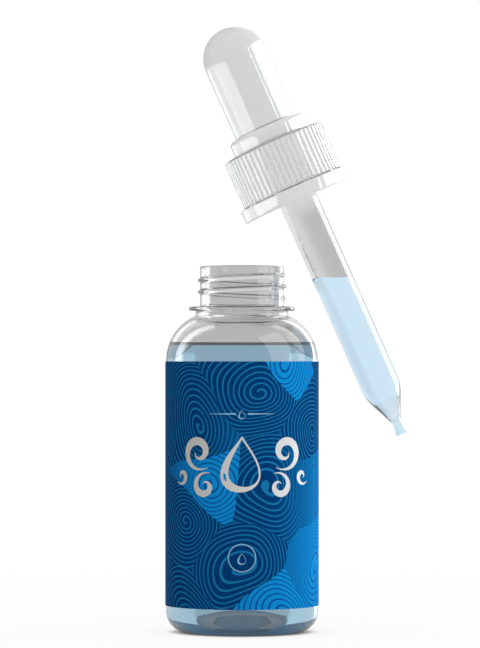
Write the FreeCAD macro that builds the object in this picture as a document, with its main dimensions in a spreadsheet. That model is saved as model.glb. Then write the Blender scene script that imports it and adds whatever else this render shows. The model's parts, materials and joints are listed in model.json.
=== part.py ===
import FreeCAD, Part
import os
import re

import Sketcher

# A clear dropper bottle of oil with its dropper drawn out and held beside it, tilted.
# Bottle heights are measured up from the table, along the bottle's axis.
# Dropper heights are measured along the dropper's own axis, up from the foot of its tamper ring.

# Driving sizes, in millimetres, degrees and counts
SIZES = {
    # Bottle body
    "body_radius": 15.25,
    "body_wall": 1.0,
    "heel_round": 4.0,
    "floor_thickness": 1.2,
    "stand_width": 1.65,
    "punt_height": 3.8,
    "shoulder_foot": 54.3,
    "shoulder_round": 10.0,
    # Bottle neck
    "neck_radius": 8.4,
    "neck_wall": 0.9,
    "neck_root_step": 0.9,
    "neck_root_length": 0.86,
    "bead_reach": 2.25,
    "bead_thickness": 0.85,
    "bead_round": 0.3,
    "rim_round": 0.3,
    # Thread of the neck, and of the collar that fits it
    "thread_pitch": 2.35,
    "thread_depth": 0.5,
    "thread_foot_width": 1.15,
    "thread_crest_width": 0.4,
    "neck_thread_lead": 1.75,
    "neck_thread_turns": 2.0,
    "collar_thread_lead": 1.6,
    "collar_thread_turns": 1.75,
    "collar_thread_runout": 0.75,
    "thread_clearance": 0.15,
    "weld_depth": 0.2,
    # Label and the oil in the bottle
    "label_heel_gap": 1.4,
    "label_shoulder_gap": 0.1,
    "label_thickness": 0.15,
    "label_glue": 0.03,
    "label_seam_angle": 6.0,
    "oil_rise": 3.0,
    "oil_gap": 0.05,
    # Where the drawn dropper is held, beside the bead and above the mouth
    "dropper_offset": 0.75,
    "dropper_height": 13.0,
    "dropper_tilt": 23.9,
    # Collar
    "collar_wall": 1.6,
    "collar_roof": 1.1,
    "bevel_width": 0.9,
    "bevel_height": 0.5,
    "boss_wall": 1.54,
    "boss_height": 3.2,
    "boss_round": 0.9,
    "rib_count": 60,
    "groove_radius": 0.36,
    "groove_depth": 0.3,
    "turning_gap": 0.06,
    # Tamper ring and the bridges that tear
    "ring_wall": 0.7,
    "ring_round": 0.3,
    "ring_gap": 0.25,
    "bead_clearance": 0.15,
    "lip_thickness": 0.7,
    "lip_step": 0.45,
    "snap_lift": 0.1,
    "snap_height": 0.8,
    "snap_depth": 0.5,
    "bridge_count": 10,
    "bridge_width": 0.8,
    "bridge_depth": 0.8,
    # Bulb
    "bulb_wall": 1.1,
    "bulb_rise": 24.8,
    "bulb_flange_gap": 0.55,
    "bulb_flange_thickness": 0.9,
    "bulb_flange_round": 0.25,
    "socket_height": 4.0,
    # Seal that plugs the mouth
    "seal_thickness": 0.9,
    "seal_rim_gap": 0.1,
    "seal_skirt_depth": 2.4,
    "seal_skirt_wall": 0.8,
    "seal_sleeve_wall": 0.9,
    "seal_fit": 0.05,
    "grip_gap": 0.03,
    # Pipette and the oil drawn into it
    "pipette_radius": 3.93,
    "pipette_wall": 0.95,
    "flare_reach": 0.77,
    "flare_gap": 0.7,
    "flare_thickness": 0.8,
    "tip_clearance": 7.25,
    "cone_length": 6.7,
    "nozzle_length": 2.7,
    "waist_radius": 0.9,
    "waist_bore": 0.3,
    "tip_radius": 1.25,
    "tip_bore": 0.75,
    "drawn_height": 34.3,
}

# Sizes and places that follow from the driving ones
FORMULAS = {
    # Bottle
    "inner_radius": "body_radius - body_wall",
    "punt_radius": "body_radius - heel_round - stand_width",
    "punt_round": "(punt_radius^2 + punt_height^2) / (2 * punt_height)",
    "floor_centre": "punt_height + floor_thickness",
    "shoulder_centre": "body_radius - shoulder_round",
    "inner_shoulder_round": "shoulder_round - body_wall",
    "neck_root_radius": "neck_radius + neck_root_step",
    "neck_root_height": "shoulder_foot + sqrt(shoulder_round^2 - (neck_root_radius - shoulder_centre)^2)",
    "mouth_radius": "neck_radius - neck_wall",
    "mouth_foot": "shoulder_foot + sqrt(inner_shoulder_round^2 - (mouth_radius - shoulder_centre)^2)",
    "bead_radius": "neck_radius + bead_reach",
    "bead_bottom": "neck_root_height + neck_root_length",
    "bead_top": "bead_bottom + bead_thickness",
    "neck_thread_start": "bead_top + neck_thread_lead",
    # Label and the oil in the bottle
    "label_inner": "body_radius + label_glue",
    "label_outer": "label_inner + label_thickness",
    "label_bottom": "heel_round + label_heel_gap",
    "label_top": "shoulder_foot - label_shoulder_gap",
    "oil_radius": "inner_radius - oil_gap",
    "oil_heel_round": "heel_round - body_wall - oil_gap",
    "oil_shoulder_round": "inner_shoulder_round - oil_gap",
    "oil_level": "shoulder_foot + oil_rise",
    "oil_edge": "shoulder_centre + sqrt(oil_shoulder_round^2 - oil_rise^2)",
    "oil_floor": "floor_thickness + oil_gap",
    # Tamper ring
    "ring_inner": "bead_radius + bead_clearance",
    "ring_radius": "ring_inner + ring_wall",
    "snap_top": "snap_lift + snap_height",
    "lip_foot": "snap_top + bead_thickness + 2 * bead_clearance",
    "lip_radius": "collar_bore + lip_step",
    "ring_height": "lip_foot + lip_thickness",
    # Collar
    "collar_foot": "ring_height + ring_gap",
    "collar_bore": "neck_radius + thread_depth + thread_clearance",
    "collar_radius": "collar_bore + collar_wall",
    "collar_thread_start": "collar_foot + collar_thread_lead",
    "collar_thread_end": "collar_thread_start + thread_pitch * collar_thread_turns + thread_foot_width / 2",
    "roof_underside": "flange_top + turning_gap",
    "collar_top": "roof_underside + collar_roof",
    "boss_top": "collar_top + boss_height",
    "boss_bore": "bulb_radius + turning_gap",
    "boss_radius": "boss_bore + boss_wall",
    # Seal
    "seal_foot": "collar_thread_end + collar_thread_runout",
    "seal_radius": "collar_bore - seal_rim_gap",
    "skirt_radius": "mouth_radius - seal_fit",
    "skirt_foot": "seal_foot - seal_skirt_depth",
    "sleeve_bore": "pipette_radius + grip_gap",
    "sleeve_radius": "sleeve_bore + seal_sleeve_wall",
    # Bulb
    "flange_foot": "seal_foot + seal_thickness",
    "flange_top": "flange_foot + bulb_flange_thickness",
    "bulb_flange_radius": "collar_bore - bulb_flange_gap",
    "bulb_inner": "flare_radius + flare_gap",
    "bulb_radius": "bulb_inner + bulb_wall",
    "bulb_top": "collar_top + bulb_rise",
    "dome_foot": "bulb_top - bulb_radius",
    "ledge": "flange_foot + socket_height",
    # Where the closed dropper stands, and with it the height of the neck
    "closed_height": "bead_bottom - bead_clearance - snap_top",
    "neck_top": "closed_height + seal_foot",
    "dropper_side": "bead_radius + dropper_offset",
    "dropper_rise": "neck_top + dropper_height",
    # Pipette and the oil drawn into it
    "flare_radius": "pipette_radius + flare_reach",
    "pipette_bore": "pipette_radius - pipette_wall",
    "pipette_reach": "closed_height - floor_centre - tip_clearance",
    "waist_height": "nozzle_length - pipette_reach",
    "cone_top": "waist_height + cone_length",
    "drawn_radius": "pipette_bore - grip_gap",
    "drawn_centre": "drawn_height - pipette_reach",
    "drawn_slope": "pipette_radius * tan(dropper_tilt)",
    "drawn_top": "drawn_centre + drawn_slope",
}

SHEET = "Sizes"
WORD = re.compile(r"[a-z][a-z_]+")
FULL_TURN = 360
TOUCH = 1e-6


def bound(formula):
    """Return a formula as an expression of the sheet's cells."""
    def cell(found):
        word = found.group()
        if word in FORMULAS:
            return f"({bound(FORMULAS[word])})"
        return f"{SHEET}.{word}" if word in SIZES else word
    return WORD.sub(cell, formula)


def make_sheet(doc):
    """Write the driving sizes into the document's sheet, one alias each."""
    sheet = doc.addObject("Spreadsheet::Sheet", SHEET)
    for row, (name, size) in enumerate(SIZES.items(), start=1):
        sheet.set(f"A{row}", name)
        sheet.set(f"B{row}", str(size))
        sheet.setAlias(f"B{row}", name)
    doc.recompute()
    return sheet


def amount(doc, formula):
    """Return the number that a formula comes to."""
    return float(doc.getObject(SHEET).evalExpression(bound(formula)))


def origin_part(body, role):
    """Return one of a body's own origin planes or axes."""
    return next(o for o in body.Origin.OriginFeatures if o.Role == role)


def direction(start, end):
    """Return the signs of a step along one axis, such as (1, 0)."""
    across, up = end[0] - start[0], end[1] - start[1]
    if abs(across) > TOUCH and abs(up) > TOUCH:
        raise ValueError("only a square corner can be rounded this way")
    return (across > TOUCH) - (across < -TOUCH), (up > TOUCH) - (up < -TOUCH)


def shifted(formula, sign, radius):
    """Return a formula moved by a radius, or as it is where sign is 0."""
    return formula if not sign else f"{formula} {'+' if sign > 0 else '-'} ({radius})"


def expand(doc, outline):
    """Turn each square corner given as (x, z, 'round', radius) into its arc's two ends."""
    spots = [(amount(doc, p[0]), amount(doc, p[1])) for p in outline]
    points = []
    for n, point in enumerate(outline):
        if point[2:3] != ("round",):
            points.append(point)
            continue
        x, z, _, radius = point
        before = direction(spots[n - 1], spots[n])
        after = direction(spots[n], spots[(n + 1) % len(spots)])
        points.append((shifted(x, -before[0], radius), shifted(z, -before[1], radius)))
        turn = "left" if before[0] * after[1] - before[1] * after[0] > 0 else "right"
        points.append((shifted(x, after[0], radius), shifted(z, after[1], radius), turn, radius))
    return points


def arc_between(start, end, radius, turn):
    """Return the short arc from start to end that bends left or right."""
    middle, chord = (start + end) / 2, end - start
    side = FreeCAD.Vector(-chord.y, chord.x, 0).normalize()
    away = max(radius ** 2 - (chord.Length / 2) ** 2, 0) ** 0.5
    centre = middle + side * (away if turn == "left" else -away)
    first, last = (start, end) if turn == "left" else (end, start)
    zero = FreeCAD.Vector(1, 0, 0)
    angles = [zero.getAngle(p - centre) * (1 if p.y >= centre.y else -1) for p in (first, last)]
    circle = Part.Circle(centre, FreeCAD.Vector(0, 0, 1), radius)
    return Part.ArcOfCircle(circle, angles[0], angles[1])


def fix_point(doc, sketch, edge, end, formulas):
    """Tie one edge's end to its two formulas, or to an axis where one is 0."""
    for kind, axis, formula in (("DistanceX", -2, formulas[0]), ("DistanceY", -1, formulas[1])):
        if formula == "0":
            sketch.addConstraint(Sketcher.Constraint("PointOnObject", edge, end, axis))
            continue
        place = amount(doc, formula)
        number = sketch.addConstraint(Sketcher.Constraint(kind, -1, 1, edge, end, place))
        sketch.setExpression(f"Constraints[{number}]", bound(formula))


def new_sketch(body, name, plane):
    """Add a sketch on one of the body's own origin planes."""
    sketch = body.newObject("Sketcher::SketchObject", name)
    sketch.AttachmentSupport = (origin_part(body, plane), [""])
    sketch.MapMode = "FlatFace"
    return sketch


def draw(doc, body, name, plane, outline):
    """Draw a closed outline whose every corner and arc follows its formulas.

    A point is (x, z), or (x, z, 'left' or 'right', radius) where an arc arrives at it,
    or (x, z, 'round', radius) for a rounded square corner.
    """
    sketch = new_sketch(body, name, plane)
    points = expand(doc, outline)
    spots = [FreeCAD.Vector(amount(doc, p[0]), amount(doc, p[1]), 0) for p in points]
    ends = []
    for n, target in enumerate(points[1:] + points[:1]):
        start, end = spots[n], spots[(n + 1) % len(spots)]
        if len(target) == 2:
            sketch.addGeometry(Part.LineSegment(start, end), False)
            ends.append((1, 2))
            continue
        turn, radius = target[2], target[3]
        sketch.addGeometry(arc_between(start, end, amount(doc, radius), turn), False)
        ends.append((1, 2) if turn == "left" else (2, 1))
        number = sketch.addConstraint(Sketcher.Constraint("Radius", n, amount(doc, radius)))
        sketch.setExpression(f"Constraints[{number}]", bound(radius))
    for n, point in enumerate(points):
        last = n - 1 if n else len(points) - 1
        sketch.addConstraint(Sketcher.Constraint("Coincident", last, ends[last][1], n, ends[n][0]))
        fix_point(doc, sketch, n, ends[n][0], point[:2])
    return sketch


def new_body(doc, label):
    """Add an empty body under its own label."""
    body = doc.addObject("PartDesign::Body", label)
    body.Label = label
    return body


def turn_solid(doc, body, outline, plane="XZ_Plane"):
    """Spin an outline once about the body's own upright axis."""
    feature = body.newObject("PartDesign::Revolution", f"{body.Label}_turned")
    feature.Profile = draw(doc, body, f"{body.Label}_outline", plane, outline)
    feature.ReferenceAxis = (origin_part(body, "Z_Axis"), [""])
    feature.Angle = FULL_TURN
    body.Tip = feature
    return feature


def add_thread(doc, body, outline, turns):
    """Wind a ridge round the body's axis, right-handed, from the given section."""
    thread = body.newObject("PartDesign::AdditiveHelix", f"{body.Label}_thread")
    thread.Profile = draw(doc, body, f"{body.Label}_ridge", "XZ_Plane", outline)
    thread.ReferenceAxis = (origin_part(body, "Z_Axis"), [""])
    thread.Mode = "pitch-turns-angle"
    thread.setExpression("Pitch", bound("thread_pitch"))
    thread.setExpression("Turns", bound(turns))
    body.Tip = thread
    return thread


def repeat_round(body, feature, count):
    """Copy a feature evenly round the body's axis."""
    pattern = body.newObject("PartDesign::PolarPattern", f"{feature.Name}_pattern")
    pattern.Originals = [feature]
    pattern.Axis = (origin_part(body, "Z_Axis"), [""])
    pattern.Angle = FULL_TURN
    pattern.setExpression("Occurrences", bound(count))
    body.Tip = pattern
    return pattern


def ridge_section(wall, sign, start):
    """Return a thread's section on a wall: sign 1 stands outwards, -1 inwards."""
    rooted = f"{wall} {'-' if sign > 0 else '+'} weld_depth"
    crest = f"{wall} {'+' if sign > 0 else '-'} thread_depth"
    return [
        (rooted, f"{start} - thread_foot_width / 2"),
        (crest, f"{start} - thread_crest_width / 2"),
        (crest, f"{start} + thread_crest_width / 2"),
        (rooted, f"{start} + thread_foot_width / 2"),
    ]


def hold_with_dropper(body):
    """Set a dropper piece where the drawn dropper is held, leaning over the mouth."""
    body.Placement = FreeCAD.Placement(FreeCAD.Vector(), FreeCAD.Rotation(FreeCAD.Vector(0, 1, 0), -1))
    body.setExpression("Placement.Base.x", bound("dropper_side"))
    body.setExpression("Placement.Base.z", bound("dropper_rise"))
    body.setExpression("Placement.Rotation.Angle", bound("-dropper_tilt"))


def make_bottle(doc):
    """Clear bottle: pushed-up base, round shoulder, bead and threaded neck."""
    body = new_body(doc, "bottle")
    turn_solid(doc, body, [
        ("0", "punt_height"),
        ("punt_radius", "0", "right", "punt_round"),
        ("body_radius", "0", "round", "heel_round"),
        ("body_radius", "shoulder_foot"),
        ("neck_root_radius", "neck_root_height", "left", "shoulder_round"),
        ("neck_root_radius", "bead_bottom"),
        ("bead_radius", "bead_bottom", "round", "bead_round"),
        ("bead_radius", "bead_top", "round", "bead_round"),
        ("neck_radius", "bead_top"),
        ("neck_radius", "neck_top", "round", "rim_round"),
        ("mouth_radius", "neck_top", "round", "rim_round"),
        ("mouth_radius", "mouth_foot"),
        ("inner_radius", "shoulder_foot", "right", "inner_shoulder_round"),
        ("inner_radius", "floor_thickness", "round", "heel_round - body_wall"),
        ("punt_radius", "floor_thickness"),
        ("0", "floor_centre", "left", "punt_round"),
    ])
    add_thread(doc, body, ridge_section("neck_radius", 1, "neck_thread_start"), "neck_thread_turns")
    return body


def make_label(doc):
    """Thin label wrapped round the straight wall, its seam at the back."""
    body = new_body(doc, "wrap_label")
    wrap = turn_solid(doc, body, [
        ("-(label_outer)", "label_bottom"),
        ("-(label_inner)", "label_bottom"),
        ("-(label_inner)", "label_top"),
        ("-(label_outer)", "label_top"),
    ], plane="YZ_Plane")
    wrap.Midplane = True
    wrap.setExpression("Angle", f"{FULL_TURN} - {bound('label_seam_angle')}")
    return body


def make_bottle_oil(doc):
    """Oil that fills the bottle up to its level, just clear of the glass."""
    body = new_body(doc, "bottle_oil")
    turn_solid(doc, body, [
        ("0", "floor_centre + oil_gap"),
        ("punt_radius", "oil_floor", "right", "punt_round"),
        ("oil_radius", "oil_floor", "round", "oil_heel_round"),
        ("oil_radius", "shoulder_foot"),
        ("oil_edge", "oil_level", "left", "oil_shoulder_round"),
        ("0", "oil_level"),
    ])
    return body


def make_collar(doc):
    """Ribbed screw collar with the raised boss that the bulb stands in."""
    body = new_body(doc, "collar")
    turn_solid(doc, body, [
        ("collar_bore", "collar_foot"),
        ("collar_radius", "collar_foot"),
        ("collar_radius", "collar_top - bevel_height"),
        ("collar_radius - bevel_width", "collar_top"),
        ("boss_radius", "collar_top"),
        ("boss_radius", "boss_top", "round", "boss_round"),
        ("boss_bore", "boss_top"),
        ("boss_bore", "roof_underside"),
        ("collar_bore", "roof_underside"),
    ])
    cut_grooves(doc, body)
    add_thread(doc, body, ridge_section("collar_bore", -1, "collar_thread_start"), "collar_thread_turns")
    hold_with_dropper(body)
    return body


def cut_grooves(doc, body):
    """Cut the round grooves between the collar's grip ribs."""
    sketch = new_sketch(body, "groove_circle", "XY_Plane")
    centre, radius = "collar_radius + groove_radius - groove_depth", "groove_radius"
    spot = FreeCAD.Vector(amount(doc, centre), 0, 0)
    sketch.addGeometry(Part.Circle(spot, FreeCAD.Vector(0, 0, 1), amount(doc, radius)), False)
    number = sketch.addConstraint(Sketcher.Constraint("Radius", 0, amount(doc, radius)))
    sketch.setExpression(f"Constraints[{number}]", bound(radius))
    fix_point(doc, sketch, 0, 3, (centre, "0"))
    groove = body.newObject("PartDesign::Pocket", "groove")
    groove.Profile = sketch
    groove.Type = "ThroughAll"
    groove.Midplane = True
    repeat_round(body, groove, "rib_count")


def make_tamper_ring(doc):
    """Loose ring under the collar, held by bridges that tear at the first opening."""
    body = new_body(doc, "tamper_ring")
    turn_solid(doc, body, [
        ("ring_inner", "0"),
        ("ring_radius", "0", "round", "ring_round"),
        ("ring_radius", "ring_height", "round", "ring_round"),
        ("lip_radius", "ring_height"),
        ("lip_radius", "lip_foot"),
        ("ring_inner", "lip_foot"),
        ("ring_inner", "snap_top"),
        ("ring_inner - snap_depth", "snap_top - snap_height / 2"),
        ("ring_inner", "snap_top - snap_height"),
    ])
    bridge = body.newObject("PartDesign::Pad", "bridge")
    bridge.Profile = draw(doc, body, "bridge_outline", "XZ_Plane", [
        ("lip_radius", "ring_height - weld_depth"),
        ("lip_radius + bridge_depth", "ring_height - weld_depth"),
        ("lip_radius + bridge_depth", "collar_foot"),
        ("lip_radius", "collar_foot"),
    ])
    bridge.Midplane = True
    bridge.setExpression("Length", bound("bridge_width"))
    repeat_round(body, bridge, "bridge_count")
    hold_with_dropper(body)
    return body


def make_bulb(doc):
    """Soft bulb: domed tube, foot that grips the pipette, and a flange under the roof."""
    body = new_body(doc, "bulb")
    turn_solid(doc, body, [
        ("sleeve_bore", "flange_foot"),
        ("bulb_flange_radius", "flange_foot", "round", "bulb_flange_round"),
        ("bulb_flange_radius", "flange_top", "round", "bulb_flange_round"),
        ("bulb_radius", "flange_top"),
        ("bulb_radius", "dome_foot"),
        ("0", "bulb_top", "left", "bulb_radius"),
        ("0", "bulb_top - bulb_wall"),
        ("bulb_inner", "dome_foot", "right", "bulb_inner"),
        ("bulb_inner", "ledge"),
        ("sleeve_bore", "ledge"),
    ])
    hold_with_dropper(body)
    return body


def make_neck_seal(doc):
    """Seal under the bulb: a disc that sits on the rim, a plug skirt and a sleeve."""
    body = new_body(doc, "neck_seal")
    turn_solid(doc, body, [
        ("sleeve_bore", "skirt_foot"),
        ("sleeve_radius", "skirt_foot"),
        ("sleeve_radius", "seal_foot"),
        ("skirt_radius - seal_skirt_wall", "seal_foot"),
        ("skirt_radius - seal_skirt_wall", "skirt_foot"),
        ("skirt_radius", "skirt_foot"),
        ("skirt_radius", "seal_foot"),
        ("seal_radius", "seal_foot"),
        ("seal_radius", "flange_foot"),
        ("sleeve_bore", "flange_foot"),
    ])
    hold_with_dropper(body)
    return body


def make_pipette(doc):
    """Clear tube hung by its flare on the bulb's ledge, drawn down to a small nozzle."""
    body = new_body(doc, "pipette")
    turn_solid(doc, body, [
        ("tip_bore", "-(pipette_reach)"),
        ("tip_radius", "-(pipette_reach)"),
        ("waist_radius", "waist_height"),
        ("pipette_radius", "cone_top"),
        ("pipette_radius", "ledge"),
        ("flare_radius", "ledge"),
        ("flare_radius", "ledge + flare_thickness"),
        ("pipette_bore", "ledge + flare_thickness"),
        ("pipette_bore", "cone_top"),
        ("waist_bore", "waist_height"),
    ])
    hold_with_dropper(body)
    return body


def make_pipette_oil(doc):
    """Oil drawn into the pipette, its surface level although the dropper leans."""
    body = new_body(doc, "pipette_oil")
    turn_solid(doc, body, [
        ("0", "-(pipette_reach)"),
        ("tip_bore - grip_gap", "-(pipette_reach)"),
        ("waist_bore - grip_gap", "waist_height"),
        ("drawn_radius", "cone_top"),
        ("drawn_radius", "drawn_top"),
        ("0", "drawn_top"),
    ])
    level = body.newObject("PartDesign::Pocket", "level_cut")
    level.Profile = draw(doc, body, "level_outline", "XZ_Plane", [
        ("-(pipette_radius)", "drawn_centre + drawn_slope"),
        ("pipette_radius", "drawn_centre - drawn_slope"),
        ("pipette_radius", "drawn_top + drawn_slope"),
        ("-(pipette_radius)", "drawn_top + drawn_slope"),
    ])
    level.Type = "ThroughAll"
    level.Midplane = True
    body.Tip = level
    hold_with_dropper(body)
    return body


MAKERS = (
    make_bottle,
    make_label,
    make_bottle_oil,
    make_collar,
    make_tamper_ring,
    make_bulb,
    make_neck_seal,
    make_pipette,
    make_pipette_oil,
)


def check(doc, bodies):
    """Stop if any object failed, or any sub-part has no valid single solid."""
    for thing in doc.Objects:
        if {"Invalid", "Error"} & set(thing.State):
            raise RuntimeError(f"{thing.Label} failed: {thing.State}")
    for body in bodies:
        shape = body.Shape
        if shape.isNull() or not shape.isValid() or len(shape.Solids) != 1:
            raise RuntimeError(f"{body.Label} has no valid single solid")
        print(f"{body.Label}: {shape.Volume:.1f} cubic mm")


def main():
    """Build the document, check it and write each sub-part to its own file."""
    doc = FreeCAD.newDocument("dropper_bottle")
    make_sheet(doc)
    bodies = [make(doc) for make in MAKERS]
    doc.recompute()
    check(doc, bodies)
    os.makedirs("parts", exist_ok=True)
    for body in bodies:
        body.Shape.exportStep(f"parts/{body.Label}.step")


main()
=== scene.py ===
"""A clear dropper bottle of nail oil, its dropper drawn out and held beside the mouth.

Lengths are in millimetres until a piece is finished, when its mesh is turned to metres.
Heights on the bottle run up its axis from the table, and heights on the dropper run up the
dropper's own axis from the foot of its tamper ring.
"""

import json
import logging
import math
from dataclasses import dataclass
from enum import Enum
from typing import Any, Callable, Iterable, NamedTuple, Sequence

import bmesh
import bpy
from bmesh.types import BMEdge, BMesh, BMVert
from bpy.types import Collection, Material, NodeSocket, NodeTree, Object
from mathutils import Matrix, Vector


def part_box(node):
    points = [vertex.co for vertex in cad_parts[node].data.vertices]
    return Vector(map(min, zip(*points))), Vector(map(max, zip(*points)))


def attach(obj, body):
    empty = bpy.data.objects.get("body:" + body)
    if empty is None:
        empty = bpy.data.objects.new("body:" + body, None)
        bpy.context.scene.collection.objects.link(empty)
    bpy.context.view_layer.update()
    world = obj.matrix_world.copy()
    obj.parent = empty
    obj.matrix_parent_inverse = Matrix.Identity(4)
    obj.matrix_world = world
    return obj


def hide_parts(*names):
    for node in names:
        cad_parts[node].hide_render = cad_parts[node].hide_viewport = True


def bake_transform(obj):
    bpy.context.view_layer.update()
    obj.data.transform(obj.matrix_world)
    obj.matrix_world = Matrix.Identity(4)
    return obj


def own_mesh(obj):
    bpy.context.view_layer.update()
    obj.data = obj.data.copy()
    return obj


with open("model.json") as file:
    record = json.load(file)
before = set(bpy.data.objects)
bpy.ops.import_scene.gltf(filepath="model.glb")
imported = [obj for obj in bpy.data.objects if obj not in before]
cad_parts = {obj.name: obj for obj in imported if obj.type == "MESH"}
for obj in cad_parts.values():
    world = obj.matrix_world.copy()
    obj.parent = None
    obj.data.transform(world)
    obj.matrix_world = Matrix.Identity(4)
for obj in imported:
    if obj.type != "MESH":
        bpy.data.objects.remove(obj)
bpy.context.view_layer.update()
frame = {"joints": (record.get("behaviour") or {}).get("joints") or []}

LOG = logging.getLogger("dropper_bottle")
MM = 0.001
TOUCH = 1e-3
SMOOTH_ANGLE = math.radians(38)
# The mesh layer that holds painted shade in nooks and the pipette's painted highlight.
PAINTED_LIGHT_LAYER = "nook"
UNROLLED = "unrolled_mm"
ORIGIN = Vector((0.0, 0.0, 0.0))
UP = Vector((0.0, 0.0, 1.0))
EVEN_SINK = (1.0, 1.0, 1.0)


# Meshes

def reach(place: Vector) -> float:
    """Return how far a place is from the upright axis."""
    return math.hypot(place.x, place.y)


def smooth(share: float) -> float:
    """Return an eased 0 to 1 for a share that may lie outside 0 to 1."""
    share = min(max(share, 0.0), 1.0)
    return share * share * (3.0 - 2.0 * share)


def of_kind(kind: type, parts: Iterable[Any]) -> list[Any]:
    """Return those of some points, edges and faces that are of one kind."""
    return [part for part in parts if isinstance(part, kind)]


def everything(mesh: BMesh) -> list[Any]:
    """Return all points, edges and faces of a mesh."""
    return mesh.verts[:] + mesh.edges[:] + mesh.faces[:]


def align(mesh: BMesh) -> None:
    """Turn all faces the same way, outwards where the mesh is closed."""
    bmesh.ops.recalc_face_normals(mesh, faces=mesh.faces[:])


class Corner(NamedTuple):
    """A corner of an outline: its fillet is where its rounding starts, its rows cut the run to it."""

    radius: float
    height: float
    fillet: float = 0.0
    rows: int = 1


class Outline:
    """A line of points in the plane y = 0, radius across and height up, to be turned into a solid."""

    CORNER_SEGMENTS = 5

    def __init__(self, radius: float, height: float) -> None:
        """Start the line at one point.

        Args:
            radius: How far the point is from the axis.
            height: How high the point is.
        """
        self.mesh = bmesh.new()
        self.tip = self.start = self.mesh.verts.new((radius, 0.0, height))
        self.corners: list[tuple[BMVert, float]] = []

    def to(self, *corners: Sequence[float]) -> "Outline":
        """Draw straight runs from corner to corner.

        Args:
            corners: For each corner the values of a Corner: radius, height, fillet and rows.

        Returns:
            The outline itself, so that runs can be chained.
        """
        for radius, height, fillet, rows in (Corner(*values) for values in corners):
            step = (Vector((radius, 0.0, height)) - self.tip.co) / rows
            for _ in range(rows):
                place = self.tip.co + step
                self.tip = bmesh.ops.extrude_vert_indiv(self.mesh, verts=[self.tip])["verts"][0]
                self.tip.co = place
            self.round_off(fillet)
        return self

    def round_off(self, fillet: float) -> None:
        """Have the corner at the tip rounded once the outline is turned, unless its fillet is 0."""
        if fillet:
            self.corners.append((self.tip, fillet))

    def arc(self, centre: tuple[float, float], degrees: float, steps: int) -> "Outline":
        """Draw an arc from the tip, round a centre.

        Args:
            centre: The centre's radius and height.
            degrees: The angle turned, positive where the line bends left.
            steps: How many pieces the arc is cut into.

        Returns:
            The outline itself.
        """
        swept = bmesh.ops.spin(
            self.mesh, geom=[self.tip], cent=(centre[0], 0.0, centre[1]), axis=(0.0, -1.0, 0.0),
            angle=math.radians(degrees), steps=steps, use_duplicate=False)
        self.tip = of_kind(BMVert, swept["geom_last"])[0]
        return self

    def close(self) -> "Outline":
        """Join the last point to the first."""
        self.mesh.edges.new((self.tip, self.start))
        return self

    def turned(self, steps: int, sectors: int = 12) -> BMesh:
        """Round the corners and turn the outline once about the upright axis.

        Args:
            steps: How many steps the turn takes.
            sectors: How many equal sectors the turn is put together from.

        Returns:
            The closed mesh, its faces pointing outwards.
        """
        for corner, fillet in self.corners:
            bmesh.ops.bevel(
                self.mesh, geom=[corner], offset=fillet, offset_type="OFFSET",
                segments=self.CORNER_SEGMENTS, profile=0.5, affect="VERTICES", material=-1)
        bmesh.ops.spin(self.mesh, geom=everything(self.mesh), cent=ORIGIN, axis=UP,
                       angle=math.tau / sectors, steps=steps // sectors, use_duplicate=False)
        sector = everything(self.mesh)
        for turn in range(1, sectors):
            copied = bmesh.ops.duplicate(self.mesh, geom=sector)["geom"]
            bmesh.ops.rotate(self.mesh, verts=of_kind(BMVert, copied), cent=ORIGIN,
                             matrix=Matrix.Rotation(math.tau * turn / sectors, 3, "Z"))
        bmesh.ops.remove_doubles(self.mesh, verts=self.mesh.verts[:], dist=TOUCH / 10)
        align(self.mesh)
        return self.mesh


@dataclass(frozen=True)
class Thread:
    """A right-handed screw ridge on a round wall, its ends running out into the wall."""

    wall_radius: float
    start: float
    turns: float
    outward: bool
    pitch: float = 2.35
    depth: float = 0.5
    foot_width: float = 1.15
    crest_width: float = 0.12
    run_out: float = 0.06

    def ridge(self, angle: float, height: float) -> float:
        """Return how far the ridge stands off the wall at a place.

        Args:
            angle: The place's angle about the axis, in radians.
            height: The place's height.

        Returns:
            The ridge's height there, 0 clear of it.
        """
        tallest = 0.0
        for whole in range(-1, math.ceil(self.turns) + 1):
            along = (angle / math.tau) % 1.0 + whole
            into = min(along + self.run_out, self.turns + self.run_out - along) / (2 * self.run_out)
            away = abs(height - self.start - self.pitch * along)
            flank = (self.foot_width - 2 * away) / (self.foot_width - self.crest_width)
            tallest = max(tallest, smooth(flank) * smooth(into))
        return self.depth * tallest

    def raise_on(self, mesh: BMesh) -> None:
        """Push the wall's own points out, or in, to form the ridge.

        Args:
            mesh: The turned mesh whose wall has rows enough to carry the ridge.
        """
        low = self.start - self.foot_width
        high = self.start + self.pitch * self.turns + self.foot_width
        for point in mesh.verts:
            radius = reach(point.co)
            if abs(radius - self.wall_radius) > TOUCH or not low < point.co.z < high:
                continue
            ridge = self.ridge(math.atan2(point.co.y, point.co.x), point.co.z)
            pull_to(point, radius + (ridge if self.outward else -ridge))


def pull_to(point: BMVert, radius: float) -> None:
    """Move a point straight out or in until it is at a radius."""
    point.co.xy *= radius / reach(point.co)


def mark_inside(mesh: BMesh, outer: float, facing: float = 0.5, kept: float = 0.97) -> None:
    """Give the faces that look inwards, at the axis, the second material.

    Args:
        mesh: The turned mesh.
        outer: Its outer radius.
        facing: How squarely such a face looks at the axis at least, up to 1.
        kept: The share of the outer radius past which all faces keep the first material.
    """
    for face in mesh.faces:
        centre = face.calc_center_median()
        inwards = -face.normal.xy.dot(centre.xy) / max(reach(centre), TOUCH)
        face.material_index = 1 if inwards > facing and reach(centre) < outer * kept else 0


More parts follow.
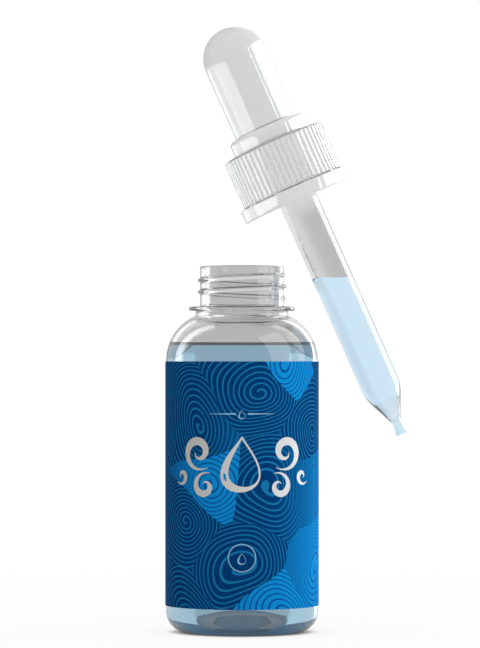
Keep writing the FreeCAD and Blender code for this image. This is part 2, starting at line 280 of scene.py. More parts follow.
def shade_nooks(mesh: BMesh, depth: Callable[[float, float], float]) -> None:
    """Note on each point how deep it sits in a nook, for the painted shade there.

    Args:
        mesh: The mesh.
        depth: Gives 0 to 1 for a point's radius and height.
    """
    nook = mesh.verts.layers.float.new(PAINTED_LIGHT_LAYER)
    for point in mesh.verts:
        point[nook] = smooth(depth(reach(point.co), point.co.z))


def finished(name: str, mesh: BMesh, materials: Sequence[Material],
             place: Matrix | None = None) -> Object:
    """Turn a mesh in millimetres into an object in metres at the origin, its place in its mesh.

    Args:
        name: The object's name.
        mesh: The mesh, which is used up.
        materials: The object's materials, in the order of its faces' numbers.
        place: Where the piece goes, in millimetres, for a piece built on its own axis.

    Returns:
        The new object.
    """
    mesh.transform(Matrix.Scale(MM, 4) @ (place or Matrix.Identity(4)))
    data = bpy.data.meshes.new(name)
    mesh.to_mesh(data)
    mesh.free()
    data.shade_smooth()
    data.set_sharp_from_angle(angle=SMOOTH_ANGLE)
    for material in materials:
        data.materials.append(material)
    return shown(bpy.data.objects.new(name, data))


def shown(thing: Object) -> Object:
    """Put an object into the scene and return it."""
    bpy.context.scene.collection.objects.link(thing)
    return thing


# Materials

def linear(colour: str) -> tuple[float, float, float, float]:
    """Return an sRGB colour such as '#c8c8c8' as linear red, green, blue and 1."""
    shares = [int(colour[n:n + 2], 16) / 255 for n in (1, 3, 5)]
    red, green, blue = (c / 12.92 if c <= 0.04045 else ((c + 0.055) / 1.055) ** 2.4 for c in shares)
    return red, green, blue, 1.0


class Nodes:
    """A node tree, emptied, with short calls for the nodes that the finishes share."""

    def __init__(self, tree: NodeTree) -> None:
        """Take a material's or the world's tree."""
        self.tree = tree
        tree.nodes.clear()

    def add(self, kind: str, inputs: dict[Any, Any] | None = None, **settings: str) -> Any:
        """Add a node.

        Args:
            kind: The node's type, without the words ShaderNode.
            inputs: For each socket, by name or number, its value, its sRGB colour or what feeds it.
            settings: Values for the node's own properties.

        Returns:
            The node's outputs, to be taken by name or number.
        """
        node = self.tree.nodes.new(f"ShaderNode{kind}")
        for name, value in settings.items():
            setattr(node, name, value)
        for name, value in (inputs or {}).items():
            if isinstance(value, NodeSocket):
                self.tree.links.new(value, node.inputs[name])
            else:
                node.inputs[name].default_value = linear(value) if isinstance(value, str) else value
        return node.outputs

    def surface(self, kind: str, inputs: dict[Any, Any], volume: NodeSocket | None = None) -> None:
        """Feed the material's output from a shader, and from a volume where it has one.

        Args:
            kind: The shader's type.
            inputs: The shader's inputs.
            volume: What fills the piece.
        """
        feeds = {"Surface": self.add(kind, inputs)[0]}
        if volume is not None:
            feeds["Volume"] = volume
        self.add("OutputMaterial", feeds)

    def number(self, operation: str, *values: Any) -> NodeSocket:
        """Return the result of a sum on numbers or sockets, such as number('ADD', socket, 1.0)."""
        return self.add("Math", dict(enumerate(values)), operation=operation)[0]

    def vector(self, operation: str, *values: Any) -> NodeSocket:
        """Return the result of a sum on vectors or sockets."""
        return self.add("VectorMath", dict(enumerate(values)), operation=operation)[0]

    def scaled(self, vector: NodeSocket, scale: Any) -> NodeSocket:
        """Return a vector or colour times a number."""
        return self.add("VectorMath", {0: vector, "Scale": scale}, operation="SCALE")[0]

    def length(self, vector: NodeSocket) -> NodeSocket:
        """Return a vector's length."""
        return self.add("VectorMath", {0: vector}, operation="LENGTH")["Value"]

    def part(self, vector: NodeSocket, axis: str) -> NodeSocket:
        """Return the X, Y or Z of a vector."""
        return self.add("SeparateXYZ", {0: vector})[axis]

    def place(self) -> NodeSocket:
        """Return the place on the piece, in metres in the frame."""
        return self.add("TexCoord")["Object"]

    def nook(self) -> NodeSocket:
        """Return the share of painted shade, or on the pipette of painted highlight, that the mesh
        holds at the place.
        """
        return self.add("Attribute", attribute_name=PAINTED_LIGHT_LAYER)["Fac"]

    def grain(self, span_mm: float, detail: float) -> NodeSocket:
        """Return a cloudy 0 to 1 whose clouds are so many millimetres across."""
        return self.add("TexNoise", {
            "Vector": self.place(), "Scale": 1 / (span_mm * MM), "Detail": detail})[0]

    def bump(self, height: NodeSocket, strength: float, depth_mm: float) -> NodeSocket:
        """Return the normal of a skin with small heights in it."""
        return self.add("Bump", {"Height": height, "Strength": strength, "Distance": depth_mm * MM})[0]

    def mix(self, share: NodeSocket, low: Any, high: Any) -> NodeSocket:
        """Return one colour at a share of 0 and another at a share of 1."""
        return self.add("Mix", {0: share, 6: low, 7: high}, data_type="RGBA")[2]

    def spread(self, value: NodeSocket, given: tuple[float, float] = (0.0, 1.0),
               wanted: tuple[float, float] = (0.0, 1.0), eased: bool = False) -> NodeSocket:
        """Turn a number that runs between two values into one between two others.

        Args:
            value: The number.
            given: The two values it runs between.
            wanted: The two values for its place.
            eased: Whether it starts and ends softly.

        Returns:
            The new number, which stays between the wanted values.
        """
        return self.add("MapRange", {
            "Value": value, "From Min": given[0], "From Max": given[1], "To Min": wanted[0],
            "To Max": wanted[1]}, interpolation_type="SMOOTHSTEP" if eased else "LINEAR")[0]

    def looking(self) -> NodeSocket:
        """Return 1 for rays that look at the background, straight, in a gloss or through glass."""
        rays = self.add("LightPath")
        mirrored = self.number("MAXIMUM", rays["Is Glossy Ray"], rays["Is Transmission Ray"])
        return self.number("MAXIMUM", rays["Is Camera Ray"], mirrored)


@dataclass(frozen=True)
class Finish:
    """What a piece is made of, as the eye sees it."""

    name: str

    def material(self) -> Material:
        """Return a new material in this finish."""
        material = bpy.data.materials.new(self.name)
        material.use_nodes = True
        self.lay(Nodes(material.node_tree))
        return material

    def lay(self, nodes: Nodes) -> None:
        """Lay the nodes, as each finish does in its own way.

        Args:
            nodes: The new material's nodes, still empty.
        """
        raise NotImplementedError


def skins(*finishes: Finish) -> list[Material]:
    """Return a new material for each finish."""
    return [finish.material() for finish in finishes]


@dataclass(frozen=True)
class ClearGlass(Finish):
    """Soda-lime glass, blown in a mould: clear, a little grey, with a faint slow ripple in its skin.

    The grey is what each pass through the skin takes from the light, so two walls look darker than one;
    it is partly painted shade, deepened to stand in for darker surroundings seen through the glass.
    Where the mesh's mask says so it is paler, a painted highlight.
    """

    name: str = "soda_lime_glass"
    tint: str = "#d7d7d7"
    # pale: the tint where the mesh's mask paints the glass lighter, a painted highlight.
    pale: str = "#d7d7d7"
    ior: float = 1.5
    ripple_mm: float = 9.0
    ripple_strength: float = 0.04

    def lay(self, nodes: Nodes) -> None:
        """Lay the glass."""
        ripple = nodes.grain(self.ripple_mm, 1.0)
        # Painted highlight: the mesh's mask mixes the tint towards the paler one.
        nodes.surface("BsdfPrincipled", {
            "Base Color": nodes.mix(nodes.nook(), self.tint, self.pale), "Roughness": 0.0,
            "IOR": self.ior, "Transmission Weight": 1.0,
            "Normal": nodes.bump(ripple, self.ripple_strength, 1.0)})


@dataclass(frozen=True)
class DyedOil(Finish):
    """Nail oil: a clear liquid with a little blue dye, which shows more the deeper the oil is."""

    dye: str = "#46dbff"
    density: float = 33.0
    skin: str = "#ffffff"
    clearness: float = 1.0
    ior: float = 1.47

    def lay(self, nodes: Nodes) -> None:
        """Lay the oil."""
        depth = nodes.add("VolumeAbsorption", {"Color": self.dye, "Density": self.density})[0]
        nodes.surface("BsdfPrincipled", {
            "Base Color": self.skin, "Roughness": 0.0, "IOR": self.ior,
            "Transmission Weight": self.clearness}, depth)


@dataclass(frozen=True)
class GlossPolypropylene(Finish):
    """White polypropylene, injection moulded against polished steel: an even white, clear gloss.

    Nooks and grooves hold a painted soft shade, and the plastic glows with painted light where it is
    unshaded, most on the inside of a thin wall, standing in for the light that soaks through.
    """

    name: str = "white_polypropylene"
    colour: str = "#f3f5f4"
    shade: str = "#bcc0be"
    roughness: tuple[float, float] = (0.056, 0.091)
    grain_mm: float = 0.35
    grain_depth_mm: float = 0.02
    grain_strength: float = 0.05
    ior: float = 1.49
    # Painted glow: emission that stands in for light soaking through the wall.
    glow: float = 0.06

    def lay(self, nodes: Nodes) -> None:
        """Lay the plastic."""
        grain, nook = nodes.grain(self.grain_mm, 3.0), nodes.nook()
        # Painted shade mixes in by the mesh's mask, and the painted glow fades where it does.
        nodes.surface("BsdfPrincipled", {
            "Base Color": nodes.mix(nook, self.colour, self.shade), "IOR": self.ior,
            "Roughness": nodes.spread(grain, wanted=self.roughness),
            "Emission Color": self.colour,
            "Emission Strength": nodes.number("MULTIPLY_ADD", nook, -self.glow, self.glow),
            "Normal": nodes.bump(grain, self.grain_strength, self.grain_depth_mm)})


@dataclass(frozen=True)
class SiliconeRubber(Finish):
    """Translucent white silicone, moulded: light sinks in a little, under an even satin shine."""

    name: str = "translucent_silicone"
    colour: str = "#f2f5f4"
    # Painted shade, mixed in where the tube leaves the boss.
    shade: str = "#8f9391"
    roughness: tuple[float, float] = (0.034, 0.048)
    cloud_mm: float = 4.0
    ior: float = 1.41
    # Painted glow: a faint emission that lifts the rubber.
    glow: float = 0.035
    sinks: float = 0.5
    sink_mm: float = 1.2

    def lay(self, nodes: Nodes) -> None:
        """Lay the rubber."""
        nodes.surface("BsdfPrincipled", {
            "Base Color": nodes.mix(nodes.nook(), self.colour, self.shade), "IOR": self.ior,
            "Roughness": nodes.spread(nodes.grain(self.cloud_mm, 2.0), wanted=self.roughness),
            "Emission Color": self.colour, "Emission Strength": self.glow,
            "Subsurface Weight": self.sinks, "Subsurface Radius": EVEN_SINK,
            "Subsurface Scale": self.sink_mm * MM})


@dataclass(frozen=True)
class SoftPolyethylene(Finish):
    """Natural polyethylene, moulded: a waxy off-white that lets a little light in."""

    name: str = "natural_polyethylene"
    colour: str = "#e3e4df"
    roughness: float = 0.45
    ior: float = 1.51
    wax_mm: float = 1.2
    wax_depth_mm: float = 0.03
    wax_strength: float = 0.15
    sinks: float = 0.3
    sink_mm: float = 0.8

    def lay(self, nodes: Nodes) -> None:
        """Lay the plastic."""
        wax = nodes.grain(self.wax_mm, 4.0)
        nodes.surface("BsdfPrincipled", {
            "Base Color": self.colour, "Roughness": self.roughness, "IOR": self.ior,
            "Subsurface Weight": self.sinks, "Subsurface Radius": EVEN_SINK,
            "Subsurface Scale": self.sink_mm * MM,
            "Normal": nodes.bump(wax, self.wax_strength, self.wax_depth_mm)})


@dataclass(frozen=True)
class PrintedFilm(Finish):
    """Polypropylene film, gravure printed in blues under a matt varnish: deep, with hardly a shine.

    The print is a plain ripple pattern: rings that curl round scattered centres, some of their cells
    bright.
    """

    name: str = "printed_label_film"
    deep: str = "#004584"
    deep_line: str = "#1d88c4"
    bright: str = "#14a0f0"
    bright_line: str = "#0a5fb4"
    cell_mm: float = 14.0
    scatter: float = 0.85
    warp_mm: float = 2.6
    warp_span_mm: float = 16.0
    line_spacing_mm: float = 0.8
    line_share: float = 0.27
    line_softness: float = 0.4
    # Painted shade and light: the print darkens towards the left and brightens towards the right.
    painted_side_shading: tuple[float, float] = (0.62, 1.15)
    bright_lean: float = 0.2
    bright_draws: tuple[float, float] = (0.6, 0.85)
    half_width_mm: float = 18.0
    roughness: float = 0.6
    shine: float = 0.01

    def lay(self, nodes: Nodes) -> None:
        """Lay the print.

        Args:
            nodes: The material's nodes.
        """
        arm, bright_draw, hand_draw = self.cells(nodes)
        lean = self.across(nodes, -self.bright_lean, self.bright_lean)
        glow = nodes.spread(nodes.number("ADD", bright_draw, lean), self.bright_draws, eased=True)
        ground = nodes.mix(glow, self.deep, self.bright)
        ink = nodes.mix(glow, self.deep_line, self.bright_line)
        colour = nodes.mix(self.lines(nodes, arm, hand_draw), ground, ink)
        # The colour is scaled by the painted side shading.
        nodes.surface("BsdfPrincipled", {
            "Base Color": nodes.scaled(colour, self.across(nodes, *self.painted_side_shading)),
            "Roughness": self.roughness, "Specular IOR Level": self.shine})

    def cells(self, nodes: Nodes) -> tuple[NodeSocket, NodeSocket, NodeSocket]:
        """Lay wavy cells over the unrolled label.

        Args:
            nodes: The material's nodes.

        Returns:
            The way from the nearest cell's centre, in cells, and two random numbers of that cell.
        """
        unrolled = nodes.add("UVMap", uv_map=UNROLLED)[0]
        warp = nodes.add("TexNoise", {
            "Vector": unrolled, "Scale": 1 / self.warp_span_mm, "Detail": 0.0}, noise_dimensions="2D")
        push = nodes.vector("MULTIPLY_ADD", warp["Color"], (self.warp_mm * 2,) * 3, unrolled)
        place = nodes.scaled(push, 1 / self.cell_mm)
        cell = nodes.add("TexVoronoi", {
            "Vector": place, "Scale": 1.0, "Randomness": self.scatter}, voronoi_dimensions="2D")
        draws = nodes.add("SeparateColor", {0: cell["Color"]})
        return nodes.vector("SUBTRACT", place, cell["Position"]), draws[0], draws[1]

    def lines(self, nodes: Nodes, arm: NodeSocket, draw: NodeSocket) -> NodeSocket:
        """Draw thin rings that curl round each cell's centre.

        Args:
            nodes: The material's nodes.
            arm: The way from the centre.
            draw: The random number that picks which way the rings curl.

        Returns:
            1 on a line and 0 between the lines.
        """
        angle = nodes.number("ARCTAN2", nodes.part(arm, "Y"), nodes.part(arm, "X"))
        hand = nodes.number("MULTIPLY_ADD", nodes.number("GREATER_THAN", draw, 0.5), 2.0, -1.0)
        curl = nodes.number("MULTIPLY", nodes.number("DIVIDE", angle, math.tau), hand)
        rings = nodes.number("MULTIPLY", nodes.length(arm), self.cell_mm / self.line_spacing_mm)
        phase = nodes.number("FRACT", nodes.number("ADD", rings, curl))
        off_line = nodes.number("ABSOLUTE", nodes.number("SUBTRACT", phase, 0.5))
        edge, soft = self.line_share / 2, self.line_softness
        return nodes.spread(off_line, (edge * (1 - soft), edge * (1 + soft)), (1.0, 0.0), eased=True)

    def across(self, nodes: Nodes, left: float, right: float) -> NodeSocket:
        """Return a number that goes evenly from the front's left to its right."""
        unrolled = nodes.add("UVMap", uv_map=UNROLLED)[0]
        half = self.half_width_mm
        return nodes.spread(nodes.part(unrolled, "X"), (-half, half), (left, right))


@dataclass(frozen=True)
class StampedInk(Finish):
    """Foil or ink stamped on the film: pale, finely brushed, with a painted sheen that makes it
    brighter towards its right side.
    """

    name: str = "silver_foil"
    left: str = "#aca69f"
    right: str = "#fbfdff"
    metallic: float = 0.3
    roughness: tuple[float, float] = (0.34, 0.46)
    grain_mm: float = 0.5
    half_width: float = 0.013

    def lay(self, nodes: Nodes) -> None:
        """Lay the foil or ink."""
        # Painted sheen: the colour runs from the duller left to the brighter right.
        across = nodes.spread(nodes.part(nodes.place(), "X"), (-self.half_width, self.half_width))
        nodes.surface("BsdfPrincipled", {
            "Base Color": nodes.mix(across, self.left, self.right), "Metallic": self.metallic,
            "Roughness": nodes.spread(nodes.grain(self.grain_mm, 2.0), wanted=self.roughness)})


@dataclass(frozen=True)
class FilmBack(Finish):
    """The film's glued side, seen only through the glass: a dull blue, painted darker at its foot, that
    glows with painted light, blue at its foot and pale near its head, in place of the light that comes
    in through the clear shoulder."""

    name: str = "label_film_back"
    painted_shade_at_foot: str = "#33424f"
    colour: str = "#7f93a8"
    painted_light_at_foot: str = "#3a84a0"
    painted_light_at_head: str = "#d0d5d9"
    painted_light_heights: tuple[float, float] = (0.04, 0.052)
    roughness: tuple[float, float] = (0.4, 0.6)
    glue_mm: float = 3.0

    def lay(self, nodes: Nodes) -> None:
        """Lay the film's back."""
        # Painted shade at the foot and a painted glow over the whole back, both changing with height.
        glow = nodes.spread(nodes.part(nodes.place(), "Z"), self.painted_light_heights)
        nodes.surface("BsdfPrincipled", {
            "Base Color": nodes.mix(glow, self.painted_shade_at_foot, self.colour),
            "Roughness": nodes.spread(nodes.grain(self.glue_mm, 2.0), wanted=self.roughness),
            "Emission Color": nodes.mix(glow, self.painted_light_at_foot, self.painted_light_at_head),
            "Emission Strength": 1.0})


@dataclass(frozen=True)
class StudioSweep(Finish):
    """Matt white studio paper, lit until the eye sees it burnt out, with a trace of shadow left.

    Right under the bottle the paper is painted dark, a painted shadow for the little light that gets
    there through the glass. Only rays that look at the paper see the white, and a share says how much
    of it they see.
    """

    name: str = "white_studio_paper"
    colour: str = "#f4f4f4"
    painted_shadow_under: str = "#1c1c1c"
    under_share: float = 0.06
    near_share: float = 0.93
    under_reach: float = 0.011
    near_reach: float = 0.016
    clear_reach: float = 0.022
    far_reach: float = 0.3

    def lay(self, nodes: Nodes) -> None:
        """Lay the paper.

        Args:
            nodes: The material's nodes.
        """
        away = nodes.length(nodes.place())
        near = nodes.spread(away, (self.under_reach, self.near_reach),
                            (self.under_share, self.near_share), eased=True)
        clear = nodes.spread(away, (self.near_reach, self.clear_reach), eased=True)
        burnt = nodes.spread(away, (self.near_reach, self.far_reach),
                             (0.0, 1.0 - self.near_share), eased=True)
        share = nodes.number("MULTIPLY", nodes.looking(), nodes.number("ADD", near, burnt))
        # Painted shadow: the paper's colour turns dark right under the bottle.
        paper = nodes.add("BsdfDiffuse", {"Color": nodes.mix(clear, self.painted_shadow_under, self.colour)})
        white = nodes.add("Emission", {"Color": "#ffffff"})
        nodes.surface("MixShader", {0: share, 1: paper[0], 2: white[0]})


@dataclass(frozen=True)
class GreyCard(Finish):
    """Matt grey card."""

    name: str = "grey_card"
    grey: str = "#bcbcbc"

    def lay(self, nodes: Nodes) -> None:
        """Lay the card."""
        nodes.surface("BsdfDiffuse", {"Color": self.grey})


class Body(Enum):
    """The bodies of the frame that a piece can ride on."""

    BOTTLE = "bottle"
    DROPPER = "dropper"
    COLLAR = "collar"
    OIL_COLUMN = "oil_column"


def ride(thing: Object, body: Body, slot: str, *nodes: str) -> Object:
    """Make a finished piece move with a body, and stand for CAD nodes.

    Args:
        thing: The piece.
        body: The body it moves with.
        slot: Not used.
        nodes: The CAD nodes that it replaces.

    Returns:
        The piece.
    """
    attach(thing, body.value)
    if nodes:
        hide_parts(*nodes)
    return thing


# The bottle and what it carries

@dataclass
class Bottle:
    """The clear bottle: pushed-up base, round shoulder, bead and threaded neck, and the oil in it."""

    body_radius: float = 15.25
    wall: float = 1.0
    heel_round: float = 4.0
    floor_thickness: float = 1.2
    floor_round: float = 0.4
    stand_width: float = 1.65
    stand_round: float = 0.45
    punt_height: float = 3.8
    shoulder_foot: float = 54.3
    shoulder_round: float = 10.0
    neck_radius: float = 8.4
    neck_wall: float = 0.9
    neck_foot_round: float = 0.3
    neck_root_step: float = 0.9
    neck_root_length: float = 0.86
    neck_root_round: float = 0.25
    bead_reach: float = 2.25
    bead_thickness: float = 0.85
    bead_round: float = 0.36
    rim_round: float = 0.3
    thread_lead: float = 1.75
    thread_turns: float = 2.0
    thread_rows: int = 66
    oil_rise: float = 3.0
    meniscus: float = 0.55
    meniscus_knee: float = 0.3
    meniscus_spread: float = 3.0
    oil_overlap: float = 0.06
    mouth_band: float = 0.6
    band_rows: int = 4
    dome_steps: int = 20
    shoulder_steps: int = 28
    oil_edge_steps: int = 12
    steps: int = 192

    def __post_init__(self) -> None:
        """Work out the heights and radii that follow from the sizes."""
        self.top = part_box("bottle")[1].z / MM
        self.shoulder_centre = self.body_radius - self.shoulder_round
        self.root_radius = self.neck_radius + self.neck_root_step
        root = self.root_radius - self.shoulder_centre
        self.root_angle = math.degrees(math.acos(root / self.shoulder_round))
        root_height = self.shoulder_foot + math.sqrt(self.shoulder_round ** 2 - root ** 2)
        self.bead_foot = root_height + self.neck_root_length
        self.bead_top = self.bead_foot + self.bead_thickness
        self.mouth_radius = self.neck_radius - self.neck_wall
        self.inner_radius = self.body_radius - self.wall
        self.inner_round = self.shoulder_round - self.wall
        self.punt_radius = self.body_radius - self.heel_round - self.stand_width
        self.oil_level = self.shoulder_foot + self.oil_rise

    def dome(self, line: Outline, lift: float, outwards: bool) -> None:
        """Draw the pushed-up middle of the floor.

        Args:
            line: The outline, its tip at one end of the dome.
            lift: How far the dome is raised above the underside's.
            outwards: Whether the line runs from the axis out to the dome's edge.
        """
        radius = (self.punt_radius ** 2 + self.punt_height ** 2) / (2 * self.punt_height)
        angle = math.degrees(math.asin(self.punt_radius / radius))
        centre = (0.0, self.punt_height + lift - radius)
        line.arc(centre, -angle if outwards else angle, self.dome_steps)

    def glass(self) -> BMesh:
        """Return the glass as one closed mesh, thread and all."""
        shoulder = (self.shoulder_centre, self.shoulder_foot)
        line = Outline(0.0, self.punt_height)
        self.dome(line, 0.0, outwards=True)
        line.round_off(self.stand_round)
        line.to((self.body_radius, 0.0, self.heel_round),
                (self.body_radius, self.shoulder_foot, 0.0, self.band_rows))
        line.arc(shoulder, self.root_angle, self.shoulder_steps)
        bead_radius = self.neck_radius + self.bead_reach
        span = self.mouth_radius - self.shoulder_centre
        mouth_foot = self.shoulder_foot + math.sqrt(self.inner_round ** 2 - span ** 2)
        line.to(
            (self.root_radius, self.bead_foot, self.neck_root_round),
            (bead_radius, self.bead_foot, self.bead_round),
            (bead_radius, self.bead_top, self.bead_round),
            (self.neck_radius, self.bead_top, self.neck_foot_round),
            (self.neck_radius, self.bead_top + self.rim_round * 2),
            (self.neck_radius, self.top - self.rim_round * 1.5, 0.0, self.thread_rows),
            (self.neck_radius, self.top, self.rim_round), (self.mouth_radius, self.top, self.rim_round),
            (self.mouth_radius, mouth_foot + self.mouth_band, 0.0, self.band_rows),
            (self.mouth_radius, mouth_foot))
        line.arc(shoulder, -math.degrees(math.acos(span / self.inner_round)), self.shoulder_steps)
        line.to((self.inner_radius, self.floor_thickness, self.heel_round - self.wall),
                (self.punt_radius, self.floor_thickness, self.floor_round))
        self.dome(line, self.floor_thickness, outwards=False)
        mesh = line.turned(self.steps)
        thread_foot = self.bead_top + self.thread_lead
        Thread(self.neck_radius, thread_foot, self.thread_turns, outward=True).raise_on(mesh)
        return mesh

    def oil(self) -> BMesh:
        """Return the oil, sunk a little into the glass so that no air shows between them."""
        floor = self.floor_thickness - self.oil_overlap
        radius = self.inner_radius + self.oil_overlap
        line = Outline(0.0, self.punt_height + floor)
        self.dome(line, floor, outwards=True)
        line.to((radius, floor, self.heel_round - self.wall), (radius, self.shoulder_foot))
        rise = (self.oil_rise + self.meniscus) / (self.inner_round + self.oil_overlap)
        line.arc((self.shoulder_centre, self.shoulder_foot), math.degrees(math.asin(rise)),
                 self.oil_edge_steps)
        edge = line.tip.co.x
        line.to((edge - self.meniscus, self.oil_level + self.meniscus * self.meniscus_knee),
                (edge - self.meniscus * self.meniscus_spread, self.oil_level), (0.0, self.oil_level))
        mesh = line.turned(self.steps)
        # The meniscus faces take the second skin, whose grey is painted shade.
        for face in mesh.faces:
            face.material_index = 1 if face.calc_center_median().z > self.oil_level + TOUCH else 0
        return mesh

    def build(self) -> list[Object]:
        """Build and dress the glass and the oil in it."""
        glass = finished("bottle_glass", self.glass(), skins(ClearGlass()))
        # The meniscus's grey, half-clear skin is painted shade: a dark band at the oil's edge.
        oil = finished("bottle_oil_fill", self.oil(), skins(
            DyedOil("bottle_nail_oil"), DyedOil("oil_meniscus_painted_shade", skin="#6f7472", clearness=0.3)))
        return [ride(glass, Body.BOTTLE, "clear_glass", "bottle"),
                ride(oil, Body.BOTTLE, "tinted_oil", "bottle_oil")]


@dataclass
class WrapLabel:
    """The printed label, and the silver ornament stamped on its front."""

    bottle: Bottle
    heel_gap: float = 1.4
    shoulder_gap: float = 0.1
    glue: float = 0.03
    thickness: float = 0.12
    foil_thickness: float = 0.02
    seam_degrees: float = 6.0
    underlap_degrees: float = 8.4
    underlap_lift: float = 0.4
    underlap_share: float = 0.3
    step_degrees: float = 1.5

    def __post_init__(self) -> None:
        """Work out the label's heights and radii."""
        self.foot = self.bottle.heel_round + self.heel_gap
        self.head = self.bottle.shoulder_foot - self.shoulder_gap
        self.inner = self.bottle.body_radius + self.glue
        self.outer = self.inner + self.thickness

    def band(self, inner: float, thickness: float, start: float, sweep: float) -> BMesh:
        """Return a piece of film bent round the bottle.

        Args:
            inner: The radius of its inner side.
            thickness: Its thickness.
            start: The angle where it starts, in degrees.
            sweep: How far it goes round, in degrees.

        Returns:
            The closed mesh.
        """
        mesh = bmesh.new()
        across = Vector((math.cos(math.radians(start)), math.sin(math.radians(start)), 0.0)) * inner
        foot, head = (mesh.verts.new(across + UP * height) for height in (self.foot, self.head))
        edge = mesh.edges.new((foot, head))
        bmesh.ops.spin(mesh, geom=[foot, head, edge], cent=ORIGIN, axis=UP, angle=math.radians(sweep),
                       steps=math.ceil(sweep / self.step_degrees), use_duplicate=False)
        align(mesh)
        face = mesh.faces[:][0]
        if face.normal.dot(face.calc_center_median()) < 0:
            bmesh.ops.reverse_faces(mesh, faces=mesh.faces[:])
        bmesh.ops.solidify(mesh, geom=mesh.faces[:], thickness=-thickness)
        align(mesh)
        return mesh

    def unroll(self, mesh: BMesh, lowest: float) -> BMesh:
        """Lay the outside on a map in millimetres and mark the glued side.

        Args:
            mesh: The bent film.
            lowest: The angle from the front that its map starts at, in radians.

        Returns:
            The mesh.
        """
        unrolled = mesh.loops.layers.uv.new(UNROLLED)
        for face in mesh.faces:
            outwards = face.normal.xy.dot(face.calc_center_median().xy)
            face.material_index = 1 if outwards < -0.5 else 0
            for corner in face.loops:
                spot = corner.vert.co
                angle = (math.atan2(spot.x, -spot.y) - lowest) % math.tau + lowest
                corner[unrolled].uv = (angle * self.outer, spot.z)
        return mesh

    def sheet(self) -> BMesh:
        """Return the wrapped film."""
        seam = self.seam_degrees
        return self.unroll(self.band(self.inner, self.thickness, 90 + seam / 2, 360 - seam), -math.pi)

    def underlap(self) -> BMesh:
        """Return the end of the film that lies in the glue and closes the seam from within."""
        sweep, inner = self.underlap_degrees, self.bottle.body_radius + self.glue * self.underlap_lift
        thickness = self.glue * self.underlap_share
        return self.unroll(self.band(inner, thickness, 90 - sweep / 2, sweep), 0.0)

    def foil(self) -> BMesh:
        """Return the silver ornament, bent round the label."""
        mesh = bmesh.new()
        for stroke in Ornament().strokes():
            laid = len(mesh.faces)
            stroke.lay(mesh)
            for face in mesh.faces[:][laid:]:
                face.material_index = int(stroke.pale)
        align(mesh)
        for face in mesh.faces[:]:
            if face.normal.z < 0:
                face.normal_flip()
        radius = self.outer + self.foil_thickness
        for point in mesh.verts:
            angle = point.co.x / self.outer
            point.co = Vector((math.sin(angle) * radius, -math.cos(angle) * radius, point.co.y))
        return mesh

    def build(self) -> list[Object]:
        """Build and dress the film and its foil."""
        print_and_back = skins(PrintedFilm(), FilmBack())
        film = finished("label_film", self.sheet(), print_and_back)
        underlap = finished("label_underlap", self.underlap(), print_and_back)
        inks = skins(StampedInk(), StampedInk("pale_blue_ink", "#6fa9ce", "#a9d6f0", 0.0))
        foil = finished("label_foil", self.foil(), inks)
        return [ride(film, Body.BOTTLE, "label_film", "wrap_label"),
                ride(underlap, Body.BOTTLE, "label_film"), ride(foil, Body.BOTTLE, "label_film")]


@dataclass(frozen=True)
class Stroke:
    """One stroke of the ornament: a ribbon along a path whose width swells and thins."""

    path: Callable[[float], Vector]
    half_width: Callable[[float], float]
    pieces: int
    pale: bool = False

    def lay(self, mesh: BMesh) -> None:
        """Lay the ribbon flat, across and up in the plane z = 0.

        Args:
            mesh: The mesh that the ribbon is added to.
        """
        ends = self.ends(0.0)
        edge = mesh.edges.new([mesh.verts.new(end) for end in ends])
        for piece in range(1, self.pieces + 1):
            grown = bmesh.ops.extrude_edge_only(mesh, edges=[edge])["geom"]
            points = of_kind(BMVert, grown)
            edge = next(part for part in of_kind(BMEdge, grown)
                        if all(end in points for end in part.verts))
            ordered = sorted(points, key=lambda point: (point.co - ends[0]).length)
            ends = self.ends(piece / self.pieces)
            for point, end in zip(ordered, ends):
                point.co = end

    def ends(self, share: float) -> tuple[Vector, Vector]:
        """Return the ribbon's two sides at a share of its path.

        Args:
            share: The share, 0 at the path's start and 1 at its end.

        Returns:
            The left side's point and the right side's.
        """
        step, here = 1e-3, self.path(share)
        ahead = self.path(min(share + step, 1.0)) - self.path(max(share - step, 0.0))
        side = Vector((-ahead.y, ahead.x, 0.0)).normalized() * self.half_width(share)
        return here + side, here - side


